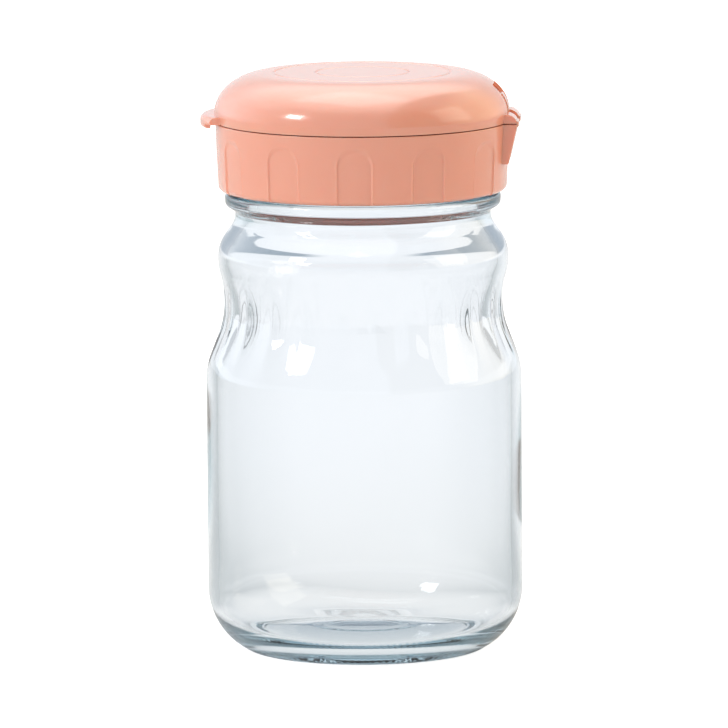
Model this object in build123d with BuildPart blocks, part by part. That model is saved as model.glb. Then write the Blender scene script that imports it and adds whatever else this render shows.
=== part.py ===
from build123d import *
import os
from math import atan2, tan

# Pickled ginger jar: a clear screw-top storage jar with a pink flip-lid cap.
# Millimetres. Origin at the centre of the base, +Z up, the cap's hinge towards +X,
# the thumb tab towards -X.

os.makedirs("parts", exist_ok=True)

# Glass jar, outline of the outside: each radius is stepped off the one before it
body_radius = 42.5
waist_depth = 4.9
shoulder_bulge = 1.5
neck_step = 4.7
foot_inset = 10.2
heel_height = 16.4

# Glass jar, heights of its slopes and bands, counted down from the neck bead
neck_band = 2.6
neck_rise = 6.7
shoulder_band = 5.65
bulge_rise = 5.8
waist_band = 8.3
waist_rise = 12.75
body_round = 20.9
waist_round = 22.0
bulge_round = 14.0
shoulder_round = 9.5
neck_round = 6.1

# Glass jar, neck bead and screw finish
bead_overhang = 2.7
bead_slope = 1.8
bead_height = 3.1
bead_clearance = 0.5
bead_round = 0.9
finish_overhang = 0.2
rim_round = 1.1

# Glass jar, wall, base and underside
wall = 3.0
base_thickness = 4.5
floor_rise = 2.0
heel_inside_round = 10.0
bearing_width = 1.8
push_up = 1.6
push_up_slope = 2.5
push_up_rise = 1.8

# Flutes pressed into the waist
flute_count = 24
flute_rise = 2.75
flute_depth = 1.0
flute_sweep = 22.5
flute_round = 17.0
flute_half_width = 6.0

# Cap levels
parting_height = 142.6
parting_gap = 0.3
deck_thickness = 2.2
seal_thickness = 1.4
seal_margin = 0.2

# Screw collar
collar_height = 18.5
collar_overhang = 1.6
collar_flare = 0.85
collar_bottom_round = 1.5
collar_wall = 2.2
mouth_ring_inset = 1.4
mouth_ring_wall = 1.8
mouth_ring_height = 3.0
mouth_ring_round = 0.6

# Arch panels around the collar, one place left out for the hinge plate
arch_count = 12
arch_width = 9.3
arch_top_drop = 3.4
arch_depth = 0.4

# Flip lid
lid_height = 13.2
lid_overhang = 0.25
lid_rim_inset = 0.2
lid_shoulder_width = 13.8
lid_shoulder_height = 10.8
lid_wall = 1.8
plug_clearance = 0.3
plug_wall = 1.5
plug_drop = 2.1
plug_lead_in = 0.5
plug_lead_in_height = 0.8
plug_root = 0.9
ring_inset = 2.3
ring_spacing = 11.2
ring_half_width = 0.4
ring_depth = 0.25

# Thumb tab
tab_overhang = 3.8
tab_bow = 28.5
tab_half_width = 13.4
tab_thickness = 2.0
tab_round = 1.5
lip_half_width = 10.0
lip_drop = 0.87
lip_thickness = 1.5
lip_round = 0.6

# Hinge plate, hinge wedges and film hinges
hinge_overhang = 2.3
hinge_half_width = 9.9
wedge_height = 1.8
wedge_land = 0.6
wedge_bow = 0.25
plate_height = 10.65
plate_foot_overhang = 0.9
film_thickness = 0.4
film_side_gap = 0.2

# Spring strap, the channel it lies in and the shallow recess around the channel
channel_half_width = 3.1
channel_height = 10.0
channel_depth = 1.2
channel_round = 2.0
recess_half_width = 6.8
recess_depth = 0.5
recess_round = 3.0
strap_half_width = 2.4
strap_height = 7.5
strap_thickness = 0.6
strap_clearance = 0.3

# Radii that follow, from the body to the hinge
waist_radius = body_radius - waist_depth
shoulder_radius = waist_radius + shoulder_bulge
neck_radius = shoulder_radius - neck_step
foot_radius = body_radius - foot_inset
bearing_inside = foot_radius - bearing_width
push_up_radius = bearing_inside - push_up_slope
inside_radius = body_radius - wall
floor_radius = inside_radius - heel_inside_round
bead_radius = neck_radius + bead_overhang
finish_radius = neck_radius + finish_overhang
mouth_radius = neck_radius - wall
collar_bottom_radius = bead_radius + collar_overhang
collar_top_radius = collar_bottom_radius + collar_flare
plate_root_radius = collar_bottom_radius - collar_wall / 2
mouth_ring_radius = mouth_radius - mouth_ring_inset
mouth_ring_outside = mouth_ring_radius + mouth_ring_wall
plug_radius = mouth_ring_radius - plug_clearance
lid_radius = collar_top_radius + lid_overhang
lid_rim_radius = lid_radius - lid_rim_inset
lid_flat_radius = lid_radius - lid_shoulder_width
tab_reach = lid_radius + tab_overhang
hinge_reach = lid_radius + hinge_overhang
plate_foot_reach = collar_bottom_radius + plate_foot_overhang
film_face = hinge_reach - film_thickness / 2

# Levels that follow, from the parting line down the jar and up the lid
lid_rim_height = parting_height + parting_gap
lid_top = parting_height + lid_height
shoulder_level = lid_top - lid_shoulder_height
deck_underside = parting_height - deck_thickness
glass_rim = deck_underside - seal_thickness
collar_bottom = parting_height - collar_height
mouth_ring_top = parting_height + mouth_ring_height
plug_bottom = mouth_ring_top - plug_drop
wedge_foot = lid_rim_height + wedge_land
wedge_top = wedge_foot + wedge_height
bead_top = collar_bottom - bead_clearance
bead_bottom = bead_top - bead_height
neck_top = bead_bottom - bead_slope
neck_bottom = neck_top - neck_band
shoulder_top = neck_bottom - neck_rise
shoulder_bottom = shoulder_top - shoulder_band
waist_top = shoulder_bottom - bulge_rise
waist_bottom = waist_top - waist_band
body_top = waist_bottom - waist_rise
flute_middle = waist_bottom + flute_rise


def wall_points(inset):
    """Corner points of the jar's side, bottom to top, moved in square to the wall."""
    body_shift = inset * tan(atan2(waist_depth, waist_rise) / 2)
    bulge_shift = inset * tan(atan2(shoulder_bulge, bulge_rise) / 2)
    neck_shift = inset * tan(atan2(neck_step, neck_rise) / 2)
    return [
        (body_radius - inset, body_top - body_shift),
        (waist_radius - inset, waist_bottom - body_shift),
        (waist_radius - inset, waist_top + bulge_shift),
        (shoulder_radius - inset, shoulder_bottom + bulge_shift),
        (shoulder_radius - inset, shoulder_top - neck_shift),
        (neck_radius - inset, neck_bottom - neck_shift),
    ]


def wall_rounds(inset):
    """Rounds at those corners: tighter inside a bulge, wider inside a hollow."""
    return [
        body_round - inset,
        waist_round + inset,
        waist_round + inset,
        bulge_round - inset,
        shoulder_round - inset,
        neck_round + inset,
    ]


def dome_section(inset):
    """Half section of the lid's dome down to its rim, with the outside moved in."""
    with BuildSketch() as section:
        with BuildLine():
            Polyline(
                (lid_flat_radius, lid_top - inset),
                (0, lid_top - inset),
                (0, lid_rim_height),
                (lid_rim_radius - inset, lid_rim_height),
                (lid_radius - inset, shoulder_level),
            )
            EllipticalCenterArc(
                (lid_flat_radius, shoulder_level),
                lid_radius - lid_flat_radius - inset,
                lid_shoulder_height - inset,
                start_angle=0,
                arc_size=90,
            )
        make_face()
    return section.sketch


# One flute: a barrel lying across the waist, which bites deepest at mid height
flute_axis_radius = waist_radius - flute_depth + flute_sweep
with BuildPart() as flute:
    with BuildSketch(Plane.XY.offset(flute_middle)):
        with BuildLine():
            bite = RadiusArc(
                (waist_radius, -flute_half_width),
                (waist_radius, flute_half_width),
                flute_round,
            )
            Polyline(
                bite @ 1,
                (flute_axis_radius, flute_half_width),
                (flute_axis_radius, -flute_half_width),
                bite @ 0,
            )
        make_face()
    revolve(axis=Axis((flute_axis_radius, 0, flute_middle), (0, 1, 0)))

# Glass jar
with BuildPart() as glass_jar:
    with BuildSketch(Plane.XZ):
        with BuildLine():
            underside = TangentArc(
                (0, push_up + push_up_rise),
                (push_up_radius, push_up),
                tangent=(1, 0),
            )
            Polyline((push_up_radius, push_up), (bearing_inside, 0), (foot_radius, 0))
            TangentArc(
                (body_radius, heel_height),
                (foot_radius, 0),
                tangent=(0, -1),
            )
            FilletPolyline(
                (body_radius, heel_height),
                *wall_points(0),
                (neck_radius, neck_top),
                (bead_radius, bead_bottom),
                (bead_radius, bead_top),
                (finish_radius, bead_top),
                (finish_radius, glass_rim),
                (mouth_radius, glass_rim),
                *reversed(wall_points(wall)),
                (inside_radius, base_thickness + heel_inside_round),
                radius=[
                    *wall_rounds(0),
                    0,
                    bead_round,
                    bead_round,
                    0,
                    rim_round,
                    rim_round,
                    *reversed(wall_rounds(wall)),
                ],
            )
            TangentArc(
                (inside_radius, base_thickness + heel_inside_round),
                (floor_radius, base_thickness),
                tangent=(0, -1),
            )
            floor = TangentArc(
                (0, base_thickness + floor_rise),
                (floor_radius, base_thickness),
                tangent=(1, 0),
            )
            Line(underside @ 0, floor @ 0)
        make_face()
    revolve(axis=Axis.Z)
    with PolarLocations(0, flute_count):
        add(flute.part, mode=Mode.SUBTRACT)
glass_jar.part.label = "glass_jar"
export_step(glass_jar.part, "parts/glass_jar.step")

# Sealing ring, a flat washer between the glass rim and the collar's deck
with BuildPart() as sealing_ring:
    with BuildSketch(Plane.XY.offset(glass_rim)):
        Circle(finish_radius - seal_margin)
        Circle(mouth_radius + seal_margin, mode=Mode.SUBTRACT)
    extrude(amount=seal_thickness)
sealing_ring.part.label = "sealing_ring"
export_step(sealing_ring.part, "parts/sealing_ring.step")

# Arch panels: round-topped pockets with a floor that follows the collar's slope
arch_top = parting_height - arch_top_drop
arch_round = arch_width / 2
with BuildPart() as arch:
    with BuildSketch(Plane.YZ):
        with BuildLine():
            crown = CenterArc((0, arch_top - arch_round), arch_round, 0, 180)
            Polyline(
                crown @ 1,
                (-arch_round, collar_bottom - arch_depth),
                (arch_round, collar_bottom - arch_depth),
                crown @ 0,
            )
        make_face()
    extrude(amount=lid_radius)
with BuildPart() as arches:
    with PolarLocations(0, arch_count - 1, 360 / arch_count, 360 - 360 / arch_count):
        add(arch.part)
    with BuildSketch(Plane.XZ):
        with BuildLine():
            Polyline(
                (0, parting_height),
                (0, collar_bottom - arch_depth),
                (collar_bottom_radius - arch_depth, collar_bottom - arch_depth),
                (collar_bottom_radius - arch_depth, collar_bottom),
                (collar_top_radius - arch_depth, parting_height),
                close=True,
            )
        make_face()
    revolve(axis=Axis.Z, mode=Mode.SUBTRACT)

# Screw collar: skirt, deck with mouth ring, and the slanted hinge plate
with BuildPart() as screw_collar:
    with BuildSketch(Plane.XZ):
        with BuildLine():
            FilletPolyline(
                (mouth_ring_radius, deck_underside),
                (collar_top_radius - collar_wall, deck_underside),
                (collar_bottom_radius - collar_wall, collar_bottom),
                (collar_bottom_radius, collar_bottom),
                (collar_top_radius, parting_height),
                (mouth_ring_outside, parting_height),
                (mouth_ring_outside, mouth_ring_top),
                (mouth_ring_radius, mouth_ring_top),
                close=True,
                radius=[
                    0,
                    mouth_ring_round,
                    0,
                    collar_bottom_round,
                    0,
                    mouth_ring_round,
                    mouth_ring_round,
                    mouth_ring_round,
                ],
            )
        make_face()
    revolve(axis=Axis.Z)
    add(arches.part, mode=Mode.SUBTRACT)
    with BuildSketch(Plane.XZ):
        with BuildLine():
            Polyline(
                (plate_root_radius, parting_height),
                (film_face, parting_height),
                (film_face, parting_height - wedge_land),
                (plate_foot_reach, parting_height - plate_height),
                (plate_root_radius, parting_height - plate_height),
                close=True,
            )
        make_face()
    extrude(amount=hinge_half_width, both=True)
screw_collar.part.label = "screw_collar"
export_step(screw_collar.part, "parts/screw_collar.step")

# Dome space inside the lid, which the tab and the wedges must not enter
with BuildPart() as dome_space:
    with BuildSketch(Plane.XZ):
        add(dome_section(lid_wall))
    revolve(axis=Axis.Z)

# Thumb tab: a bowed ledge with a turned-down lip, cut square at both ends
tab_centre = tab_bow - tab_reach
tab_axis = Axis((tab_centre, 0, 0), (0, 0, 1))
tab_top = lid_rim_height + tab_thickness
lip_inside = tab_reach - lip_thickness
with BuildPart() as tab_ledge:
    with BuildSketch(Plane.XZ):
        with BuildLine():
            FilletPolyline(
                (tab_centre, lid_rim_height),
                (-tab_reach, lid_rim_height),
                (-tab_reach, tab_top),
                (tab_centre, tab_top),
                radius=[0, tab_round],
            )
            Line((tab_centre, tab_top), (tab_centre, lid_rim_height))
        make_face()
    revolve(axis=tab_axis)
    with BuildSketch(Plane.XY.offset(lid_rim_height)):
        Rectangle(tab_reach, 2 * tab_half_width, align=(Align.MAX, Align.CENTER))
    extrude(amount=lid_height, mode=Mode.INTERSECT)
    add(dome_space.part, mode=Mode.SUBTRACT)
with BuildPart() as tab_lip:
    with BuildSketch(Plane.XZ):
        with BuildLine():
            FilletPolyline(
                (-lip_inside, tab_top - tab_round),
                (-lip_inside, parting_height - lip_drop),
                (-tab_reach, parting_height - lip_drop),
                (-tab_reach, tab_top - tab_round),
                radius=[0, lip_round],
            )
            Line((-tab_reach, tab_top - tab_round), (-lip_inside, tab_top - tab_round))
        make_face()
    revolve(axis=tab_axis)
    with BuildSketch(Plane.XY.offset(parting_height - lip_drop)):
        Rectangle(tab_reach, 2 * lip_half_width, align=(Align.MAX, Align.CENTER))
    extrude(amount=lid_height, mode=Mode.INTERSECT)

# Strap channel: a slot up the dome behind the hinge, its floor following the dome
with BuildPart() as channel:
    with BuildSketch(Plane.YZ):
        with BuildLine():
            FilletPolyline(
                (-channel_half_width, parting_height),
                (-channel_half_width, lid_rim_height + channel_height),
                (channel_half_width, lid_rim_height + channel_height),
                (channel_half_width, parting_height),
                radius=channel_round,
            )
            Line((channel_half_width, parting_height), (-channel_half_width, parting_height))
        make_face()
    extrude(amount=hinge_reach)
    with BuildSketch(Plane.XZ):
        add(dome_section(channel_depth))
    revolve(axis=Axis.Z, mode=Mode.SUBTRACT)

# Recess: the shallow wider sinking above the wedges, from which the channel drops
with BuildPart() as recess:
    with BuildSketch(Plane.YZ):
        with BuildLine():
            FilletPolyline(
                (-recess_half_width, wedge_top),
                (-recess_half_width, lid_rim_height + channel_height),
                (recess_half_width, lid_rim_height + channel_height),
                (recess_half_width, wedge_top),
                radius=recess_round,
            )
            Line((recess_half_width, wedge_top), (-recess_half_width, wedge_top))
        make_face()
    extrude(amount=hinge_reach)
    with BuildSketch(Plane.XZ):
        add(dome_section(recess_depth))
    revolve(axis=Axis.Z, mode=Mode.SUBTRACT)

# Flip lid: dome shell with rings, thumb tab, two hinge wedges and the plug ring
outer_ring_radius = lid_flat_radius - ring_inset
with BuildPart() as flip_lid:
    with BuildSketch(Plane.XZ):
        add(dome_section(0))
        for ring_radius in (outer_ring_radius, outer_ring_radius - ring_spacing):
            with BuildLine():
                Polyline(
                    (ring_radius - ring_half_width, lid_top),
                    (ring_radius, lid_top - ring_depth),
                    (ring_radius + ring_half_width, lid_top),
                    close=True,
                )
            make_face(mode=Mode.SUBTRACT)
    revolve(axis=Axis.Z)
    add(tab_ledge.part)
    add(tab_lip.part)
    with BuildSketch(Plane.XZ):
        with BuildLine():
            wedge_foot_line = Polyline(
                (lid_rim_radius - lid_wall, wedge_top),
                (lid_rim_radius - lid_wall, lid_rim_height),
                (film_face, lid_rim_height),
                (film_face, wedge_foot),
            )
            wedge_back = ThreePointArc(
                wedge_foot_line @ 1,
                (
                    (film_face + lid_rim_radius) / 2 + wedge_bow,
                    (wedge_foot + wedge_top) / 2 + wedge_bow,
                ),
                (lid_rim_radius, wedge_top),
            )
            Line(wedge_back @ 1, wedge_foot_line @ 0)
        make_face()
    extrude(amount=hinge_half_width, both=True)
    add(dome_space.part, mode=Mode.SUBTRACT)
    with BuildSketch(Plane.XZ):
        with BuildLine():
            Polyline(
                (plug_radius - plug_wall, lid_top - plug_root),
                (plug_radius - plug_wall, plug_bottom),
                (plug_radius - plug_lead_in, plug_bottom),
                (plug_radius, plug_bottom + plug_lead_in_height),
                (plug_radius, lid_top - plug_root),
                close=True,
            )
        make_face()
    revolve(axis=Axis.Z)
    add(channel.part, mode=Mode.SUBTRACT)
    add(recess.part, mode=Mode.SUBTRACT)
flip_lid.part.label = "flip_lid"
export_step(flip_lid.part, "parts/flip_lid.step")

# Film hinges: thin webs across the wedge tips, one each side of the channel
film_length = hinge_half_width - channel_half_width - 2 * film_side_gap
film_height = parting_gap + 2 * wedge_land
film_middle = (hinge_half_width + channel_half_width) / 2
film_plane = Plane.XY.offset(parting_height - wedge_land)
with BuildPart() as film_hinge_front:
    with BuildSketch(film_plane):
        with Locations((film_face + film_thickness / 2, -film_middle)):
            Rectangle(film_thickness, film_length)
    extrude(amount=film_height)
film_hinge_front.part.label = "film_hinge_front"
export_step(film_hinge_front.part, "parts/film_hinge_front.step")

with BuildPart() as film_hinge_rear:
    with BuildSketch(film_plane):
        with Locations((film_face + film_thickness / 2, film_middle)):
            Rectangle(film_thickness, film_length)
    extrude(amount=film_height)
film_hinge_rear.part.label = "film_hinge_rear"
export_step(film_hinge_rear.part, "parts/film_hinge_rear.step")

# Spring strap: an elastic tongue that stands on the collar and lies in the channel
strap_inside = channel_depth - strap_clearance
strap_outside = strap_inside - strap_thickness
with BuildPart() as spring_strap:
    with BuildSketch(Plane.XZ):
        add(dome_section(strap_outside))
        add(dome_section(strap_inside), mode=Mode.SUBTRACT)
        with BuildLine():
            Polyline(
                (lid_rim_radius - strap_inside, parting_height),
                (lid_rim_radius - strap_outside, parting_height),
                (lid_rim_radius - strap_outside, lid_rim_height),
                (lid_rim_radius - strap_inside, lid_rim_height),
                close=True,
            )
        make_face()
    revolve(axis=Axis.Z)
    with BuildSketch(Plane.XY.offset(parting_height)):
        Rectangle(hinge_reach, 2 * strap_half_width, align=(Align.MIN, Align.CENTER))
    extrude(amount=strap_height, mode=Mode.INTERSECT)
spring_strap.part.label = "spring_strap"
export_step(spring_strap.part, "parts/spring_strap.step")
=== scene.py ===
"""Looks of the pickled ginger jar: a clear fluted glass jar under a pink flip-lid cap."""

import math

import bpy
import numpy as np
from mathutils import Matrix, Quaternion, Vector


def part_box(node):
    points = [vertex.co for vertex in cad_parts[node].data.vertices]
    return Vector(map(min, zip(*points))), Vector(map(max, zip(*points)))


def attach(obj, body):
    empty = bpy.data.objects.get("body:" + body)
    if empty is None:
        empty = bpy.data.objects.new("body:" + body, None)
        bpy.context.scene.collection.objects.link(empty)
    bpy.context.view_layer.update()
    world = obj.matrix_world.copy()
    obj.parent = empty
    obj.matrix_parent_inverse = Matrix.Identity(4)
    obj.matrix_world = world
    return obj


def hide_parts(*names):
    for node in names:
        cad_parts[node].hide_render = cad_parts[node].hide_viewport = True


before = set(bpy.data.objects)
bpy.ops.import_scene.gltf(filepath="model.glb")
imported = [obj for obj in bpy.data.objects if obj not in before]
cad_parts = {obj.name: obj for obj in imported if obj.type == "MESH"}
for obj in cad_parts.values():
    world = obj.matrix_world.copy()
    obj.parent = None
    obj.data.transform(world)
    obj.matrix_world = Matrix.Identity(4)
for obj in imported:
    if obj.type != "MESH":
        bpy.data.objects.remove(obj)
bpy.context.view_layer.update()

MM = 0.001

# Glass jar, in millimetres, as the CAD jar has them
BODY_RADIUS = 42.5
WAIST_DEPTH = 4.9
SHOULDER_BULGE = 1.5
NECK_STEP = 4.7
FOOT_RADIUS = 32.3
HEEL_HEIGHT = 16.4
WAIST_RISE = 12.75
WAIST_BOTTOM = 89.65
WAIST_TOP = 97.95
BULGE_RISE = 5.8
SHOULDER_TOP = 109.4
NECK_RISE = 6.7
BEAD_RADIUS = 37.1
BEAD_BOTTOM = 120.5
BEAD_SLOPE = 1.8
BEAD_TOP = 123.6
FINISH_RADIUS = 34.6
GLASS_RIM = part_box("glass_jar")[1].z / MM
WALL = 3.0
BASE_THICKNESS = 4.5
FLOOR_RISE = 2.0
HEEL_INSIDE_ROUND = 10.0
PUSH_UP = 1.6
PUSH_UP_RISE = 1.8
BEARING_WIDTH = 1.8
PUSH_UP_SLOPE = 2.5
BODY_ROUND = 20.9
WAIST_ROUND = 22.0
BULGE_ROUND = 14.0
SHOULDER_ROUND = 9.5
NECK_ROUND = 6.1
WAIST_RADIUS = BODY_RADIUS - WAIST_DEPTH
SHOULDER_RADIUS = WAIST_RADIUS + SHOULDER_BULGE
NECK_RADIUS = SHOULDER_RADIUS - NECK_STEP

# Rounds of the foot, the neck bead, the ledge above it and the rim, softer than the CAD's
BEARING_ROUND = 0.8
BEAD_FOOT_ROUND = 1.0
BEAD_LOW_ROUND = 1.4
BEAD_HIGH_ROUND = 1.2
LEDGE_ROUND = 0.4
RIM_ROUND = 1.4

# The heel's inside round ends this far short of the floor's edge, so that it fits there
ROUND_SPARE = 0.01

# Waist flutes and the knurls of the bearing edge
FLUTE_COUNT = 24
FLUTE_MIDDLE = 89.0
FLUTE_HALF_HEIGHT = 14.0
FLUTE_DEPTH = 0.66
FLUTE_RIDGE = 0.15
KNURL_COUNT = 120
KNURL_DEPTH = 0.30
KNURL_BOTTOM = -0.05
KNURL_BOTTOM_FADE = 0.6
KNURL_TOP = 2.6
KNURL_TOP_FADE = 1.2

# Screw thread on the finish
THREAD_START = 127.0
THREAD_LEAD = 4.2
THREAD_TURNS = 1.25
THREAD_HEIGHT = 1.2
THREAD_WIDTH = 2.4
THREAD_TAPER = 0.06

# Unevenness of the glass: waves and a thicker shoulder inside, a faint ring underneath.
# Each wave has its lobes round the jar, its rise in millimetres a radian, share and start.
WAVE_DEPTH = 0.10
WAVES = ((3, 17, 1.0, 0.0), (5, -11, 0.6, 1.3))
UNEVEN_BOTTOM = 20
UNEVEN_TOP = 118
THICK_SHOULDER = 0.62
THICK_SHOULDER_HEIGHT = 113.2
THICK_SHOULDER_SPREAD = 4.2
SEAT_RING_RADIUS = 11.4
SEAT_RING_HEIGHT = 0.35
SEAT_RING_WIDTH = 0.7
UNDERSIDE_INSET = 6

# Collar, in millimetres, as the CAD collar has it
COLLAR_BOTTOM = 124.1
PARTING = 142.6
COLLAR_BOTTOM_RADIUS = 38.7
COLLAR_TOP_RADIUS = 39.55
COLLAR_WALL = 2.2
DECK_UNDERSIDE = 140.4
MOUTH_RING_RADIUS = 30.0
MOUTH_RING_OUTSIDE = 31.8
MOUTH_RING_TOP = 145.6

# Rounds of the collar's section, from the deck's mouth down the skirt and up to the ring
DECK_MOUTH_ROUND = 0.3
DECK_CORNER_ROUND = 0.8
HEM_INSIDE_ROUND = 0.5
HEM_ROUND = 1.5
COLLAR_EDGE_ROUND = 0.25
MOUTH_RING_ROUND = 0.6

# Arch panels of the collar's skirt, with the faint raised line along their outline
ARCH_COUNT = 12
ARCH_HALF_WIDTH = 4.65
ARCH_TOP = 139.2
ARCH_DEPTH = 0.32
ARCH_EDGE = 0.45
ARCH_LINE_HEIGHT = 0.10
ARCH_LINE_OFFSET = 0.25
ARCH_LINE_WIDTH = 0.3
ARCH_CLEAR_OF_PARTING = 1

# Slanted hinge plate of the collar, whose section starts at the seam drop on its hidden side
PLATE_HALF_WIDTH = 9.9
PLATE_REACH = 41.9
PLATE_LAND = 0.6
PLATE_HEIGHT = 10.65
PLATE_FOOT_REACH = 39.6
PLATE_ROOT = 37.6
PLATE_SEAM_DROP = 5
PLATE_ROOT_ROUND = 0.3
PLATE_LAND_ROUND = 0.2
PLATE_TOP_ROUND = 0.15
PLATE_END_INSET = 0.15
PLATE_END_SHARE = 0.985

# A corner that turns by less than this, in radians, is straight
STRAIGHT_TURN = 1e-6

# Fineness of the meshes: points along an arc, millimetres between rows, columns round
UNDERSIDE_STEPS = 20
BEARING_STEPS = 5
HEEL_STEPS = 16
WALL_STEPS = 8
FLOOR_STEPS = 10
OUTSIDE_SPACING = 1.5
INSIDE_SPACING = 4.0
COLUMNS_PER_FLUTE = 15
COLLAR_STEPS = 6
COLLAR_SPACING = 0.62
COLUMNS_PER_ARCH = 40
ARCH_FINE_STEPS = 2001
ARCH_CROWDING = 7
ARCH_CROWDING_WIDTH = 0.8
PLATE_STEPS = 4
STUDIO_FLOOR_STEPS = 96

# Colours of the finishes, in screen values from 0 to 255, and the body tint of the glass
PINK_DARKER = (223, 151, 126)
PINK_LIGHTER = (227, 156, 131)
LINER_DARKER = (226, 225, 220)
LINER_LIGHTER = (238, 237, 233)
GLASS_TINT = (0.25, 0.72, 0.86, 1.0)

# Studio colours round the jar, as they light it and as its gloss shows them
CAMERA_WHITE = (1.0, 1.0, 1.0, 1.0)
BEHIND = (0.95, 0.97, 1.0, 1.0)
ABOVE = (0.35, 0.35, 0.35, 1.0)
SIDE_LEFT = (1.6, 1.7, 1.85, 1.0)
SIDE_RIGHT = (2.0, 1.72, 1.30, 1.0)
FRONT_LEFT = (0.95, 0.97, 1.02, 1.0)
FRONT_RIGHT = (0.30, 0.27, 0.22, 1.0)
OVERHEAD = (3.8, 3.8, 3.8, 1.0)
OVERHEAD_WAY = (0.0, 0.087, 0.996)
OVERHEAD_LOSS_AT_RIGHT = 0.7

# Studio colours as they show through the glass
BACK_WALL = (0.30, 0.37, 0.45, 1.0)
SIDE_WALL = (0.52, 0.54, 0.57, 1.0)
# The sheet's darker colours near the jar and under it are painted shadow of the jar
PAINTED_SHADOW_UNDER_JAR = (0.66, 0.71, 0.74, 1.0)
SHEET_NEAR_PAINTED_SHADE = (0.90, 0.91, 0.92, 1.0)
SHEET_FAR = (0.95, 0.97, 1.01, 1.0)
FLOOR_SIDE = (0.50, 0.54, 0.56, 1.0)
FLOOR_FRONT = (0.90, 0.92, 0.94, 1.0)

# Where one studio colour gives way to the next, as parts of a direction of length one
BEHIND_EDGE = (0.55, 0.90)
ABOVE_EDGE = (0.60, 0.85)
FRONT_EDGE = (-0.35, 0.15)
FRONT_MIDDLE = (0.34, 0.40)
SIDES_MIDDLE = (-0.2, 0.5)
OVERHEAD_EDGE = (0.48, 1.0)
BACK_WALL_EDGE = (0.7, 0.95)
WALL_FOOT = (0.045, 0.070)

# The same on the floor: how far a place faces straight back, and its distance in metres
SHEET_SIDES = (0.70, 0.98)
FLOOR_FRONT_EDGE = (0.1, -0.7)
SHEET_ROUND_JAR = (0.13, 0.05)
SHEET_DISTANCE = (0.02, 0.45)
# Painted shadow under the jar: full within the second distance, none beyond the first
PAINTED_SHADOW_UNDER_EDGE = (0.036, 0.020)
FACING_SPARE = 0.01

# Floor disc, in metres, and how much it glows for the camera
FLOOR_RADIUS = 3
FLOOR_LEVEL = -0.0002
FLOOR_COLOUR = (0.85, 0.85, 0.85, 1.0)
FLOOR_GLOW = 0.75

# Camera, from the ellipses of the photograph
CAMERA_DISTANCE = 2.5
CAMERA_HEIGHT = 0.432
CAMERA_TURN = math.radians(3.2)
CAMERA_ROLL = -0.0065
CAMERA_LENS = 463.4
CAMERA_AIM = (0.0, 0.0, 0.0766)


def rounded(points, radii, steps):
    """Half section with each corner rounded by an arc tangent to its two sides.

    A corner where the line turns by an angle t has its arc start radius times
    tan(t / 2) before it, and the arc's points turn evenly from the first side's
    normal to the second's.
    """
    corners = np.array(points, float)
    line = [corners[0]]
    for before, corner, after, radius in zip(corners, corners[1:], corners[2:], radii):
        into = (corner - before) / np.linalg.norm(corner - before)
        out = (after - corner) / np.linalg.norm(after - corner)
        turn = math.acos(np.clip(into @ out, -1.0, 1.0))
        if radius == 0 or turn < STRAIGHT_TURN:
            line.append(corner)
            continue
        side = np.sign(into[0] * out[1] - into[1] * out[0])
        start = corner - into * radius * math.tan(turn / 2)
        normal = side * np.array([-into[1], into[0]])
        centre = start + normal * radius
        angles = side * np.linspace(0, turn, steps)
        spoke = start - centre
        turned = np.stack(
            [
                spoke[0] * np.cos(angles) - spoke[1] * np.sin(angles),
                spoke[0] * np.sin(angles) + spoke[1] * np.cos(angles),
            ],
            1,
        )
        line.extend(centre + turned)
    line.append(corners[-1])
    return np.array(line)


def evenly(line, spacing):
    """The same section line with points no further apart than spacing."""
    length = np.linalg.norm(np.diff(line, axis=0), axis=1)
    counts = np.maximum(1, np.ceil(length / spacing)).astype(int)
    parts = [
        start + (end - start) * np.linspace(0, 1, count, endpoint=False)[:, None]
        for start, end, count in zip(line[:-1], line[1:], counts)
    ]
    return np.concatenate([*parts, line[-1:]])


def smooth_step(value):
    """The value cut to 0..1 and eased at both ends: its square times three less twice it."""
    cut = np.clip(value, 0.0, 1.0)
    return cut * cut * (3 - 2 * cut)


def add_piece(name, vertices, faces, body, smooth=True):
    """A mesh object from points in millimetres, riding on one body."""
    mesh = bpy.data.meshes.new(name)
    mesh.from_pydata((vertices * MM).tolist(), [], faces)
    mesh.polygons.foreach_set("use_smooth", np.full(len(mesh.polygons), smooth))
    mesh.update()
    piece = bpy.data.objects.new(name, mesh)
    bpy.context.scene.collection.objects.link(piece)
    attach(piece, body)
    return piece


def turned_points(radius, angle, height):
    """Grid of points at the given radii, angles and heights round the axis."""
    return np.stack([radius * np.cos(angle), radius * np.sin(angle), height], -1)


def turned_quads(rows, columns, first):
    """Faces between neighbouring rows of a turned grid, whose columns close on themselves."""
    column = np.arange(columns)
    following = (column + 1) % columns
    row = np.arange(rows - 1)[:, None] * columns + first
    quads = np.stack(
        [row + column, row + following, row + columns + following, row + columns + column],
        -1,
    )
    return quads.reshape(-1, 4)


def closed_lathe(name, points, body):
    """Turned surface from a grid of rows by columns, closed by one point at each pole.

    Rows run along the half section, outside first, and columns run round the axis.
    The first and the last row lie on the axis, and each becomes a single point.
    """
    rows, columns = points.shape[:2]
    vertices = np.concatenate(
        [[points[0].mean(0)], points[1:-1].reshape(-1, 3), [points[-1].mean(0)]]
    )
    column = np.arange(columns)
    following = (column + 1) % columns
    last_row = (rows - 3) * columns + 1
    last = len(vertices) - 1
    first_fan = np.stack([0 * column, following + 1, column + 1], -1)
    last_fan = np.stack([last_row + column, last_row + following, 0 * column + last], -1)
    quads = turned_quads(rows - 2, columns, 1)
    faces = first_fan.tolist() + quads.tolist() + last_fan.tolist()
    return add_piece(name, vertices, faces, body)


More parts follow.
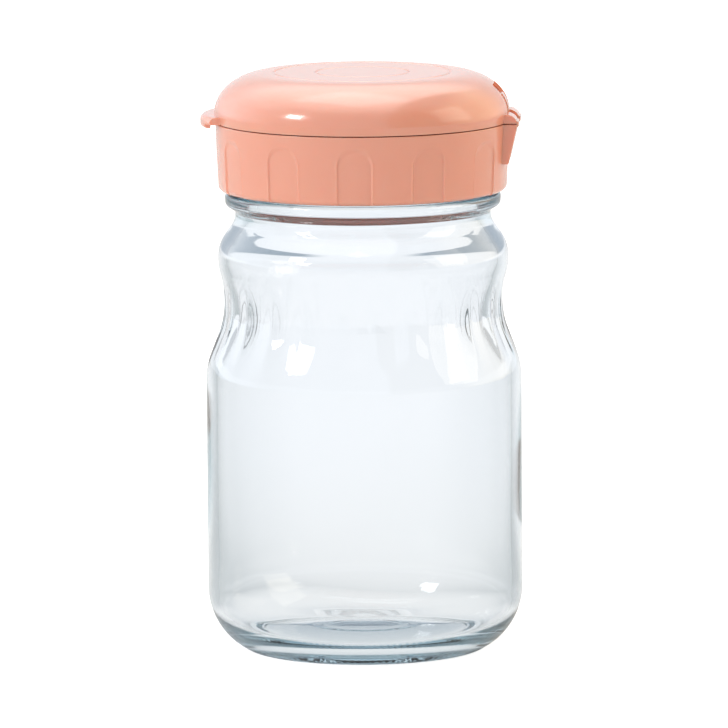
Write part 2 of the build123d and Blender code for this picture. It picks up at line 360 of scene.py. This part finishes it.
def ring_lathe(name, points, body):
    """Turned surface of a ring: its section is a loop, so the last row joins the first."""
    rows, columns = points.shape[:2]
    quads = turned_quads(rows + 1, columns, 0) % (rows * columns)
    return add_piece(name, points.reshape(-1, 3), quads.tolist(), body)


def wall_points(inset):
    """Corners of the jar's side from the body to the neck, moved in square to the wall.

    Where the side changes its lean by an angle t, a corner moves up or down by the
    inset times tan(t / 2), which keeps both sides of it parallel to the outside.
    """
    body_shift = inset * math.tan(math.atan2(WAIST_DEPTH, WAIST_RISE) / 2)
    bulge_shift = inset * math.tan(math.atan2(SHOULDER_BULGE, BULGE_RISE) / 2)
    neck_shift = inset * math.tan(math.atan2(NECK_STEP, NECK_RISE) / 2)
    return [
        (BODY_RADIUS - inset, WAIST_BOTTOM - WAIST_RISE - body_shift),
        (WAIST_RADIUS - inset, WAIST_BOTTOM - body_shift),
        (WAIST_RADIUS - inset, WAIST_TOP + bulge_shift),
        (SHOULDER_RADIUS - inset, WAIST_TOP + BULGE_RISE + bulge_shift),
        (SHOULDER_RADIUS - inset, SHOULDER_TOP - neck_shift),
        (NECK_RADIUS - inset, SHOULDER_TOP + NECK_RISE - neck_shift),
    ]


def wall_rounds(inset):
    """Rounds at those corners, tighter inside a bulge and wider inside a hollow."""
    return [
        BODY_ROUND - inset,
        WAIST_ROUND + inset,
        WAIST_ROUND + inset,
        BULGE_ROUND - inset,
        SHOULDER_ROUND - inset,
        NECK_ROUND + inset,
    ]


def heel_line():
    """The arc from the foot to the body that is tangent to the body's straight side.

    Its radius is the sum of the squares of its reach and height over twice the reach.
    """
    reach = BODY_RADIUS - FOOT_RADIUS
    radius = (reach**2 + HEEL_HEIGHT**2) / (2 * reach)
    sweep = math.asin(HEEL_HEIGHT / radius)
    angle = np.linspace(-sweep, 0, HEEL_STEPS)
    return np.stack(
        [BODY_RADIUS - radius + radius * np.cos(angle), HEEL_HEIGHT + radius * np.sin(angle)], 1
    )


def domed_floor(edge_radius, edge_height, rise, steps):
    """Shallow arc from the axis out to an edge, level where it crosses the axis.

    Its radius is the sum of the squares of the edge's radius and rise over twice the rise.
    """
    radius = (edge_radius**2 + rise**2) / (2 * rise)
    out = np.linspace(0, edge_radius, steps)
    return np.stack([out, edge_height + rise - radius + np.sqrt(radius**2 - out**2)], 1)


def glass_section():
    """Half section of the jar and the number of its rows that are outside.

    It runs from the axis along the underside, heel, side and rim, and back down the
    inside and over the floor. The rim is the highest row and the last outside one.
    """
    bearing_inside = FOOT_RADIUS - BEARING_WIDTH
    inside = BODY_RADIUS - WALL
    mouth = NECK_RADIUS - WALL
    floor_radius = inside - HEEL_INSIDE_ROUND
    push_up_edge = bearing_inside - PUSH_UP_SLOPE
    underside = domed_floor(push_up_edge, PUSH_UP, PUSH_UP_RISE, UNDERSIDE_STEPS)
    bearing = rounded(
        [(push_up_edge, PUSH_UP), (bearing_inside, 0.0), (FOOT_RADIUS, 0.0)],
        [BEARING_ROUND],
        BEARING_STEPS,
    )
    side = rounded(
        [
            (BODY_RADIUS, HEEL_HEIGHT),
            *wall_points(0),
            (NECK_RADIUS, BEAD_BOTTOM - BEAD_SLOPE),
            (BEAD_RADIUS, BEAD_BOTTOM),
            (BEAD_RADIUS, BEAD_TOP),
            (FINISH_RADIUS, BEAD_TOP),
            (FINISH_RADIUS, GLASS_RIM),
            (mouth, GLASS_RIM),
            *reversed(wall_points(WALL)),
            (inside, BASE_THICKNESS),
            (floor_radius, BASE_THICKNESS),
        ],
        [
            *wall_rounds(0),
            BEAD_FOOT_ROUND,
            BEAD_LOW_ROUND,
            BEAD_HIGH_ROUND,
            LEDGE_ROUND,
            RIM_ROUND,
            RIM_ROUND,
            *reversed(wall_rounds(WALL)),
            HEEL_INSIDE_ROUND - ROUND_SPARE,
        ],
        WALL_STEPS,
    )
    floor = domed_floor(floor_radius, BASE_THICKNESS, FLOOR_RISE, FLOOR_STEPS)[::-1]
    line = np.concatenate([underside[:-1], bearing[:-1], heel_line()[:-1], side[:-1], floor])
    rim = int(np.argmax(line[:, 1]))
    outer = evenly(line[: rim + 1], OUTSIDE_SPACING)
    inner = evenly(line[rim:], INSIDE_SPACING)
    return np.concatenate([outer[:-1], inner]), len(outer)


def flute_bite(angle, height):
    """Depth of the flutes: a hollow parabola across each, times a squared cosine upwards.

    Across a flute the bite is one less the squared share of the way to its ridge,
    with the ridge itself rounded, and it fades out at FLUTE_HALF_HEIGHT above and below.
    """
    turn = FLUTE_COUNT * angle / (2 * math.pi)
    to_ridge = 1 - 2 * np.abs(turn - np.round(turn))
    to_ridge = np.sqrt(to_ridge**2 + FLUTE_RIDGE**2) - FLUTE_RIDGE
    across = 1 - (1 - to_ridge) ** 2
    upward = np.clip((height - FLUTE_MIDDLE) / FLUTE_HALF_HEIGHT, -1, 1)
    return FLUTE_DEPTH * across * np.cos(math.pi / 2 * upward) ** 2


def knurl_bite(angle, height):
    """Depth of the bearing edge's knurls: a raised cosine round, eased in and out upwards."""
    low = smooth_step((height - KNURL_BOTTOM) / KNURL_BOTTOM_FADE)
    high = smooth_step((KNURL_TOP - height) / KNURL_TOP_FADE)
    return KNURL_DEPTH * (low * high) * (0.5 + 0.5 * np.cos(KNURL_COUNT * angle))


def thread_ridge(angle, height):
    """Height of the screw thread: one helix with a half-round ridge and tapered ends.

    Each further turn passes the same angle one lead higher, and its ridge is added.
    """
    ridge_all = 0.0
    for loop in range(math.ceil(THREAD_TURNS)):
        along = angle / (2 * math.pi) + loop
        begin = np.clip(along / THREAD_TAPER, 0, 1)
        end = np.clip((THREAD_TURNS - along) / THREAD_TAPER, 0, 1)
        centre = THREAD_START + THREAD_LEAD * along
        ridge = np.clip(1 - ((height - centre) / (THREAD_WIDTH / 2)) ** 2, 0, 1)
        ridge_all = ridge_all + THREAD_HEIGHT * (begin * end) * np.sqrt(ridge)
    return ridge_all


def inside_unevenness(angle, height):
    """How far the inside lies out from its line: slow waves, less a bump at the shoulder.

    A wave is the sine of its lobes times the angle plus the height over its rise, and
    the bump of thicker glass is a bell curve of the height.
    """
    ripple = sum(
        share * np.sin(lobes * angle + height / rise + start)
        for lobes, rise, share, start in WAVES
    )
    thick = np.exp(-(((height - THICK_SHOULDER_HEIGHT) / THICK_SHOULDER_SPREAD) ** 2))
    return WAVE_DEPTH * ripple - THICK_SHOULDER * thick


def make_glass():
    """The glass jar as one closed turned surface with its flutes, knurls and thread.

    Each row is a point of the half section and each column an angle. On the outside
    the flutes and bearing knurls are taken off and the thread put on. The inside has
    its unevenness, and the underside a ring whose height is a bell curve of the radius.
    """
    line, outer_rows = glass_section()
    columns = FLUTE_COUNT * COLUMNS_PER_FLUTE
    radius = line[:, :1]
    height = line[:, 1:]
    angle = np.linspace(0, 2 * math.pi, columns, endpoint=False)[None, :]
    is_outer = (np.arange(len(line)) < outer_rows)[:, None]
    on_side = is_outer & (radius > FOOT_RADIUS)
    on_finish = is_outer & (radius == FINISH_RADIUS)
    uneven = ~is_outer & (height > UNEVEN_BOTTOM) & (height < UNEVEN_TOP)
    under = is_outer & (radius < FOOT_RADIUS - UNDERSIDE_INSET) & (height < BASE_THICKNESS)
    shaped = np.repeat(radius, columns, 1)
    shaped = shaped - flute_bite(angle, height) * on_side
    shaped = shaped - knurl_bite(angle, height) * on_side
    shaped = shaped + thread_ridge(angle, height) * on_finish
    shaped = shaped + inside_unevenness(angle, height) * uneven
    seat = np.exp(-(((radius - SEAT_RING_RADIUS) / SEAT_RING_WIDTH) ** 2))
    level = np.repeat(height, columns, 1) - SEAT_RING_HEIGHT * seat * under
    glass = closed_lathe("clear_jar", turned_points(shaped, angle, level), "jar")
    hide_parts("glass_jar")
    return glass


def arch_columns():
    """Angles round the collar, closer together where the arches' upright edges run.

    Each arch place has the same columns, set evenly along the running sum of a
    density, which is one plus a bell curve of the distance to an upright edge.
    """
    pitch = 2 * math.pi / ARCH_COUNT
    fine = np.linspace(-0.5, 0.5, ARCH_FINE_STEPS) * pitch
    edge = np.abs(np.abs(fine) * COLLAR_TOP_RADIUS - ARCH_HALF_WIDTH)
    density = np.cumsum(1 + ARCH_CROWDING * np.exp(-((edge / ARCH_CROWDING_WIDTH) ** 2)))
    density = (density - density[0]) / (density[-1] - density[0])
    one = np.interp(np.arange(COLUMNS_PER_ARCH) / COLUMNS_PER_ARCH, density, fine)
    return (one[None, :] + pitch * np.arange(ARCH_COUNT)[:, None]).reshape(-1)


def arch_relief(angle, height):
    """Sunken arch panels with an eased edge and a faint raised line along it.

    The distance to an arch's outline is sideways below its crown's centre and
    round that centre above it. The place at the hinge plate has no arch.
    """
    pitch = 2 * math.pi / ARCH_COUNT
    within = (angle + pitch / 2) % pitch - pitch / 2
    sideways = COLLAR_TOP_RADIUS * within
    above = np.maximum(height - (ARCH_TOP - ARCH_HALF_WIDTH), 0)
    distance = np.hypot(sideways, above) - ARCH_HALF_WIDTH
    sunk = ARCH_DEPTH * smooth_step(0.5 - distance / ARCH_EDGE)
    line = ARCH_LINE_HEIGHT * np.exp(-(((distance - ARCH_LINE_OFFSET) / ARCH_LINE_WIDTH) ** 2))
    at_hinge = np.cos(angle) > math.cos(pitch / 2)
    return (line - sunk) * ~at_hinge


def make_collar():
    """The screw collar as one turned ring with its arch panels pressed into the skirt.

    Each row is a point of the section, a closed loop through deck, skirt and mouth
    ring, and each column an angle. The arches' relief is added to the skirt's radius.
    """
    line = rounded(
        [
            (MOUTH_RING_RADIUS, PARTING),
            (MOUTH_RING_RADIUS, DECK_UNDERSIDE),
            (COLLAR_TOP_RADIUS - COLLAR_WALL, DECK_UNDERSIDE),
            (COLLAR_BOTTOM_RADIUS - COLLAR_WALL, COLLAR_BOTTOM),
            (COLLAR_BOTTOM_RADIUS, COLLAR_BOTTOM),
            (COLLAR_TOP_RADIUS, PARTING),
            (MOUTH_RING_OUTSIDE, PARTING),
            (MOUTH_RING_OUTSIDE, MOUTH_RING_TOP),
            (MOUTH_RING_RADIUS, MOUTH_RING_TOP),
            (MOUTH_RING_RADIUS, PARTING),
        ],
        [
            DECK_MOUTH_ROUND,
            DECK_CORNER_ROUND,
            HEM_INSIDE_ROUND,
            HEM_ROUND,
            COLLAR_EDGE_ROUND,
            MOUTH_RING_ROUND,
            MOUTH_RING_ROUND,
            MOUTH_RING_ROUND,
        ],
        COLLAR_STEPS,
    )
    line = evenly(line, COLLAR_SPACING)[:-1]
    radius = line[:, :1]
    height = line[:, 1:]
    angle = arch_columns()[None, :]
    middle = COLLAR_BOTTOM_RADIUS - COLLAR_WALL / 2
    skirt = (radius > middle) & (height < PARTING - ARCH_CLEAR_OF_PARTING)
    shaped = radius + arch_relief(angle, height) * skirt
    level = np.repeat(height, angle.size, 1)
    collar = ring_lathe("arched_collar", turned_points(shaped, angle, level), "collar")
    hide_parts("screw_collar")
    return collar


def make_plate():
    """The slanted hinge plate on the collar: a prism with softened edges.

    Its section is carried along Y in four rows, and the two end rows are drawn in
    towards the section's middle, which chamfers the ends.
    """
    section = rounded(
        [
            (PLATE_ROOT, PARTING - PLATE_SEAM_DROP),
            (PLATE_ROOT, PARTING - PLATE_HEIGHT),
            (PLATE_FOOT_REACH, PARTING - PLATE_HEIGHT),
            (PLATE_REACH, PARTING - PLATE_LAND),
            (PLATE_REACH, PARTING),
            (PLATE_ROOT, PARTING),
            (PLATE_ROOT, PARTING - PLATE_SEAM_DROP),
        ],
        [
            PLATE_ROOT_ROUND,
            PLATE_ROOT_ROUND,
            PLATE_LAND_ROUND,
            PLATE_TOP_ROUND,
            PLATE_ROOT_ROUND,
        ],
        PLATE_STEPS,
    )[:-1]
    across = np.array([-1, -PLATE_END_SHARE, PLATE_END_SHARE, 1]) * PLATE_HALF_WIDTH
    inward = np.array([PLATE_END_INSET, 0, 0, PLATE_END_INSET])
    rows = len(across)
    count = len(section)
    middle = section.mean(0)
    offset = section - middle
    shrink = 1 - inward[:, None, None] / np.maximum(np.abs(offset).max(0), 1)
    shape = middle + offset * shrink
    sideways = np.repeat(across[:, None], count, 1)
    vertices = np.stack([shape[..., 0], sideways, shape[..., 1]], -1).reshape(-1, 3)
    quads = turned_quads(rows, count, 0)[:, [0, 3, 2, 1]]
    near = list(range(count))
    far = list(range((rows - 1) * count, rows * count))[::-1]
    faces = quads.tolist() + [near, far]
    plate = add_piece("hinge_plate", vertices, faces, "collar", smooth=False)
    return plate


def shader(name):
    """A new node material, its node tree and its main shader."""
    material = bpy.data.materials.new(name)
    material.use_nodes = True
    return material, material.node_tree, material.node_tree.nodes["Principled BSDF"]


def srgb(red, green, blue):
    """A colour given in screen values from 0 to 255, as the linear colour of a socket."""
    share = np.array([red, green, blue]) / 255
    linear = np.where(share <= 0.04045, share / 12.92, ((share + 0.055) / 1.055) ** 2.4)
    return (*linear.tolist(), 1.0)


def noise(tree, place, scale, detail=2):
    """Soft noise on a piece's own coordinates."""
    cloud = tree.nodes.new("ShaderNodeTexNoise")
    cloud.inputs["Scale"].default_value = scale
    cloud.inputs["Detail"].default_value = detail
    tree.links.new(place, cloud.inputs["Vector"])
    return cloud.outputs["Fac"]


def two_tone(tree, share, darker, lighter):
    """Colour between two screen colours, by the share of the lighter one."""
    ramp = tree.nodes.new("ShaderNodeValToRGB")
    ramp.color_ramp.elements[0].color = srgb(*darker)
    ramp.color_ramp.elements[1].color = srgb(*lighter)
    tree.links.new(share, ramp.inputs["Fac"])
    return ramp.outputs["Color"]


def glass_material():
    """Clear soda glass: smooth, refracting, with a faint blue-green body tint."""
    material, tree, main = shader("clear_soda_glass")
    main.inputs["Base Color"].default_value = (1, 1, 1, 1)
    main.inputs["Roughness"].default_value = 0.0
    main.inputs["IOR"].default_value = 1.51
    main.inputs["Transmission Weight"].default_value = 1.0
    tint = tree.nodes.new("ShaderNodeVolumeAbsorption")
    tint.inputs["Color"].default_value = GLASS_TINT
    tint.inputs["Density"].default_value = 8.5
    tree.links.new(tint.outputs[0], tree.nodes["Material Output"].inputs["Volume"])
    return material


def plastic_material():
    """Glossy salmon-pink moulded plastic, faintly clouded, with a very fine grain."""
    material, tree, main = shader("salmon_pink_plastic")
    place = tree.nodes.new("ShaderNodeTexCoord").outputs["Object"]
    clouded = two_tone(tree, noise(tree, place, 45, 3), PINK_DARKER, PINK_LIGHTER)
    tree.links.new(clouded, main.inputs["Base Color"])
    main.inputs["Roughness"].default_value = 0.20
    main.inputs["IOR"].default_value = 1.49
    main.inputs["Coat Weight"].default_value = 0.6
    main.inputs["Coat Roughness"].default_value = 0.12
    main.inputs["Subsurface Weight"].default_value = 0.45
    main.inputs["Subsurface Radius"].default_value = (1.0, 0.45, 0.3)
    main.inputs["Subsurface Scale"].default_value = 0.003
    bump = tree.nodes.new("ShaderNodeBump")
    bump.inputs["Strength"].default_value = 0.03
    bump.inputs["Distance"].default_value = 0.0002
    tree.links.new(noise(tree, place, 900), bump.inputs["Height"])
    tree.links.new(bump.outputs["Normal"], main.inputs["Normal"])
    return material


def liner_material():
    """Soft off-white sealing ring with a faint matt mottle."""
    material, tree, main = shader("off_white_liner")
    place = tree.nodes.new("ShaderNodeTexCoord").outputs["Object"]
    mottled = two_tone(tree, noise(tree, place, 300), LINER_DARKER, LINER_LIGHTER)
    tree.links.new(mottled, main.inputs["Base Color"])
    main.inputs["Roughness"].default_value = 0.6
    return material


def make_camera():
    """Long-lens camera at the photograph's height, turn and slight roll."""
    data = bpy.data.cameras.new("camera")
    data.lens = CAMERA_LENS
    data.clip_start = 0.05
    data.clip_end = 30
    camera = bpy.data.objects.new("camera", data)
    bpy.context.scene.collection.objects.link(camera)
    place = np.array(
        [
            CAMERA_DISTANCE * math.sin(CAMERA_TURN),
            -CAMERA_DISTANCE * math.cos(CAMERA_TURN),
            CAMERA_HEIGHT,
        ]
    )
    gaze = (Vector(CAMERA_AIM) - Vector(place)).to_track_quat("-Z", "Y")
    camera.rotation_mode = "QUATERNION"
    camera.rotation_quaternion = gaze @ Quaternion((0, 0, 1), CAMERA_ROLL)
    camera.location = place
    bpy.context.scene.camera = camera


def softbox(name, place, aim, size, power, colour=(1, 1, 1)):
    """A rectangular studio lamp that faces its aim."""
    data = bpy.data.lights.new(name, "AREA")
    data.shape = "RECTANGLE"
    data.size, data.size_y = size
    data.energy = power
    data.color = colour
    lamp = bpy.data.objects.new(name, data)
    lamp.location = place
    lamp.rotation_mode = "QUATERNION"
    lamp.rotation_quaternion = (Vector(aim) - Vector(place)).to_track_quat("-Z", "Y")
    bpy.context.scene.collection.objects.link(lamp)


def eased(tree, value, edge):
    """Node that eases a value from 0 at the edge's first number to 1 at its second."""
    ramp = tree.nodes.new("ShaderNodeMapRange")
    ramp.interpolation_type = "SMOOTHSTEP"
    ramp.inputs["From Min"].default_value = edge[0]
    ramp.inputs["From Max"].default_value = edge[1]
    tree.links.new(value, ramp.inputs["Value"])
    return ramp.outputs["Result"]


def blended(tree, share, first, second):
    """Node that blends two colours, each a constant or another node's output."""
    mix = tree.nodes.new("ShaderNodeMix")
    mix.data_type = "RGBA"
    tree.links.new(share, mix.inputs["Factor"])
    for socket, colour in ((mix.inputs[6], first), (mix.inputs[7], second)):
        if isinstance(colour, tuple):
            socket.default_value = colour
        else:
            tree.links.new(colour, socket)
    return mix.outputs[2]


def calculated(tree, operation, first, second):
    """Math node of two values, each a constant or another node's output."""
    node = tree.nodes.new("ShaderNodeMath")
    node.operation = operation
    for socket, value in zip(node.inputs, (first, second)):
        if isinstance(value, (int, float)):
            socket.default_value = value
        else:
            tree.links.new(value, socket)
    return node.outputs[0]


def parts_of(tree, vector):
    """The parts of a vector, as node outputs named X, Y and Z."""
    split = tree.nodes.new("ShaderNodeSeparateXYZ")
    tree.links.new(vector, split.inputs[0])
    return split.outputs


def studio_light(tree, way, is_glossy):
    """Colour of the studio in each direction, as it lights the jar and shows in its gloss.

    It is white behind, grey above, cool at the left and warm at the right. In front
    the left half is pale and the right half darker, which is the edge that shows as
    an arc on the cap. Gloss alone has the overhead panel, weaker at the right, whose
    strength goes by the dot product of the direction and the panel's own.
    """
    part = parts_of(tree, way)
    right = eased(tree, part["X"], FRONT_MIDDLE)
    front = blended(tree, right, FRONT_LEFT, FRONT_RIGHT)
    sides = blended(tree, eased(tree, part["X"], SIDES_MIDDLE), SIDE_LEFT, SIDE_RIGHT)
    around = blended(tree, eased(tree, part["Y"], FRONT_EDGE), front, sides)
    around = blended(tree, eased(tree, part["Y"], BEHIND_EDGE), around, BEHIND)
    around = blended(tree, eased(tree, part["Z"], ABOVE_EDGE), around, ABOVE)
    toward = tree.nodes.new("ShaderNodeVectorMath")
    toward.operation = "DOT_PRODUCT"
    toward.inputs[1].default_value = OVERHEAD_WAY
    tree.links.new(way, toward.inputs[0])
    panel = eased(tree, toward.outputs["Value"], OVERHEAD_EDGE)
    loss = calculated(tree, "MULTIPLY", right, OVERHEAD_LOSS_AT_RIGHT)
    panel = calculated(tree, "MULTIPLY", panel, calculated(tree, "SUBTRACT", 1.0, loss))
    panel = calculated(tree, "MULTIPLY", panel, is_glossy)
    return blended(tree, panel, around, OVERHEAD)


def studio_through_glass(tree, way):
    """Colour of the studio through the glass: grey walls above the floor's far edge."""
    part = parts_of(tree, way)
    walls = blended(tree, eased(tree, part["Y"], BACK_WALL_EDGE), SIDE_WALL, BACK_WALL)
    return blended(tree, eased(tree, part["Z"], WALL_FOOT), SHEET_FAR, walls)


def make_world():
    """Photo studio round the jar, white to the camera.

    It has one set of colours for light and gloss and another for what shows through
    the glass.
    """
    world = bpy.data.worlds.new("studio")
    bpy.context.scene.world = world
    world.use_nodes = True
    tree = world.node_tree
    tree.nodes.clear()
    path = tree.nodes.new("ShaderNodeLightPath")
    way = tree.nodes.new("ShaderNodeTexCoord").outputs["Generated"]
    around = studio_light(tree, way, path.outputs["Is Glossy Ray"])
    through = studio_through_glass(tree, way)
    around = blended(tree, path.outputs["Is Transmission Ray"], around, through)
    around = blended(tree, path.outputs["Is Camera Ray"], around, CAMERA_WHITE)
    studio = tree.nodes.new("ShaderNodeBackground")
    tree.links.new(around, studio.inputs["Color"])
    out = tree.nodes.new("ShaderNodeOutputWorld")
    tree.links.new(studio.outputs[0], out.inputs[0])


def floor_through_glass(tree):
    """Colour of the floor through the glass.

    A pale sheet lies straight behind the jar and round its foot, with painted shadow of
    the jar on it: a little darker near the jar and darker still under it. Beside it the
    floor is grey, and in front pale. Through the glass the floor only glows, so these
    light levels are painted.
    How far a place faces straight back is its Y over its distance from the middle,
    with FACING_SPARE added to that so that nothing is divided by zero.
    """
    place = tree.nodes.new("ShaderNodeTexCoord").outputs["Object"]
    length = tree.nodes.new("ShaderNodeVectorMath")
    length.operation = "LENGTH"
    tree.links.new(place, length.inputs[0])
    distance = length.outputs["Value"]
    from_middle = calculated(tree, "ADD", distance, FACING_SPARE)
    facing = calculated(tree, "DIVIDE", parts_of(tree, place)["Y"], from_middle)
    behind = eased(tree, facing, SHEET_SIDES)
    on_sheet = calculated(tree, "MAXIMUM", behind, eased(tree, distance, SHEET_ROUND_JAR))
    # Painted shadow: the sheet darkens towards the jar, and more under it
    sheet = blended(tree, eased(tree, distance, SHEET_DISTANCE), SHEET_NEAR_PAINTED_SHADE, SHEET_FAR)
    sheet = blended(tree, eased(tree, distance, PAINTED_SHADOW_UNDER_EDGE), sheet, PAINTED_SHADOW_UNDER_JAR)
    beside = blended(tree, eased(tree, facing, FLOOR_FRONT_EDGE), FLOOR_SIDE, FLOOR_FRONT)
    return blended(tree, on_sheet, beside, sheet)


def make_floor():
    """Pale floor disc that glows to plain white for the camera and keeps the jar's shadow."""
    angle = np.linspace(0, 2 * math.pi, STUDIO_FLOOR_STEPS, endpoint=False)
    rim = turned_points(FLOOR_RADIUS, angle, 0 * angle + FLOOR_LEVEL)
    mesh = bpy.data.meshes.new("studio_floor")
    mesh.from_pydata(rim.tolist(), [], [list(range(STUDIO_FLOOR_STEPS))])
    floor = bpy.data.objects.new("studio_floor", mesh)
    bpy.context.scene.collection.objects.link(floor)
    material, tree, main = shader("white_floor")
    main.inputs["Base Color"].default_value = FLOOR_COLOUR
    main.inputs["Roughness"].default_value = 1.0
    main.inputs["Specular IOR Level"].default_value = 0.0
    path = tree.nodes.new("ShaderNodeLightPath")
    glow = tree.nodes.new("ShaderNodeEmission")
    strength = calculated(tree, "MULTIPLY", path.outputs["Is Camera Ray"], FLOOR_GLOW)
    tree.links.new(strength, glow.inputs["Strength"])
    lit = tree.nodes.new("ShaderNodeAddShader")
    tree.links.new(main.outputs[0], lit.inputs[0])
    tree.links.new(glow.outputs[0], lit.inputs[1])
    # Through the glass the floor only glows, with the painted light and shadow above
    through = tree.nodes.new("ShaderNodeEmission")
    tree.links.new(floor_through_glass(tree), through.inputs["Color"])
    mix = tree.nodes.new("ShaderNodeMixShader")
    tree.links.new(path.outputs["Is Transmission Ray"], mix.inputs["Fac"])
    tree.links.new(lit.outputs[0], mix.inputs[1])
    tree.links.new(through.outputs[0], mix.inputs[2])
    tree.links.new(mix.outputs[0], tree.nodes["Material Output"].inputs["Surface"])
    mesh.materials.append(material)


def dress(piece, material):
    """Puts one material on every slot of a piece."""
    piece.data.materials.clear()
    piece.data.materials.append(material)


bpy.context.scene.view_settings.view_transform = "Standard"
# Light is reflected many times inside the thick glass of the base before it leaves
bpy.context.scene.cycles.max_bounces = 32
bpy.context.scene.cycles.glossy_bounces = 24
bpy.context.scene.cycles.transmission_bounces = 32
make_camera()
make_world()
make_floor()
softbox("key", place=(-1.45, -1.05, 1.0), aim=(0, 0, 0.14), size=(0.42, 0.38), power=11.5)
softbox(
    "fill",
    place=(1.9, -0.3, 0.9),
    aim=(0, 0, 0.1),
    size=(1.0, 1.4),
    power=8,
    colour=(1.0, 0.88, 0.72),
)
softbox("top", place=(-0.1, 0.1, 1.75), aim=(0, 0, 0.15), size=(1.0, 1.2), power=6)

dress(make_glass(), glass_material())
pink = plastic_material()
dress(make_collar(), pink)
dress(make_plate(), pink)
for node in ("flip_lid", "film_hinge_front", "film_hinge_rear", "spring_strap"):
    dress(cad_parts[node], pink)
dress(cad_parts["sealing_ring"], liner_material())
